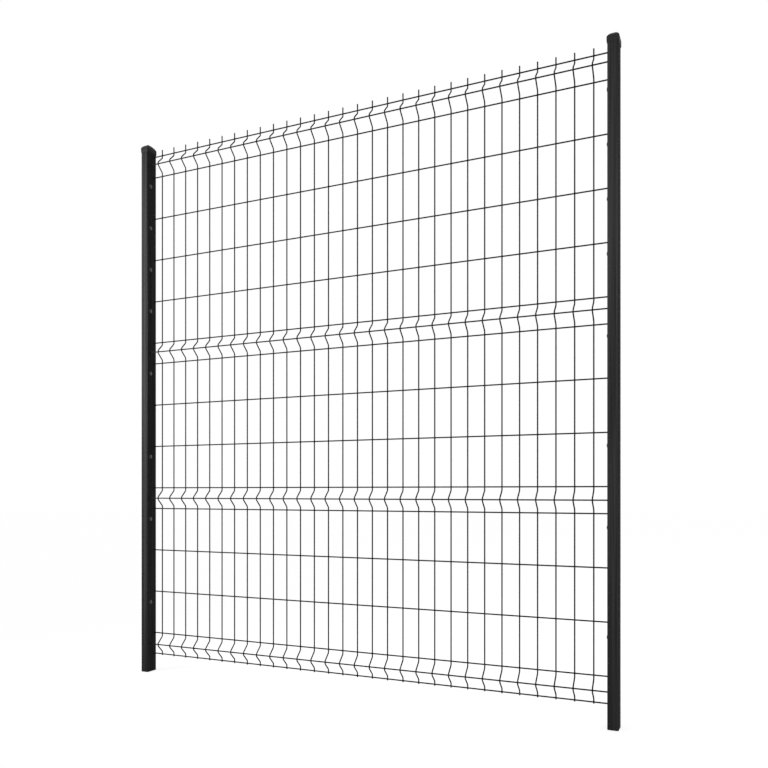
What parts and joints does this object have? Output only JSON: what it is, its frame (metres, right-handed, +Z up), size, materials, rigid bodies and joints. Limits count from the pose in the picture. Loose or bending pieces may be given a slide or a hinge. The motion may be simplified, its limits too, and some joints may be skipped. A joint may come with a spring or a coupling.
{
  "type": "welded mesh fence panel",
  "caption": "Tall welded wire mesh fence panel with V folds across it, fixed between two capped rectangular tube posts.",
  "frame": {"origin": "centre of the left post's foot", "axes": "+X along the fence from the left post to the right one, -Y the front that the folds stand out to, +Z up"},
  "size_m": [2.2234, 0.0654, 2.541],
  "materials": {
    "wire_coating": "satin black powder coat on galvanised wire",
    "post_coating": "satin black powder coat on steel tube",
    "cap_plastic": "moulded black plastic"
  },
  "bodies": {
    "root": {"left_plug_1": "cap_plastic", "left_plug_2": "cap_plastic", "left_plug_3": "cap_plastic", "left_plug_4": "cap_plastic", "left_plug_5": "cap_plastic", "left_plug_6": "cap_plastic", "left_plug_7": "cap_plastic", "left_plug_8": "cap_plastic", "left_post": "post_coating", "left_post_cap": "cap_plastic", "mesh_bottom_band": "wire_coating", "mesh_lower_band": "wire_coating", "mesh_top_band": "wire_coating", "mesh_upper_band": "wire_coating", "right_plug_1": "cap_plastic", "right_plug_2": "cap_plastic", "right_plug_3": "cap_plastic", "right_plug_4": "cap_plastic", "right_plug_5": "cap_plastic", "right_plug_6": "cap_plastic", "right_plug_7": "cap_plastic", "right_plug_8": "cap_plastic", "right_post": "post_coating", "right_post_cap": "cap_plastic"}
  },
  "joints": []
}
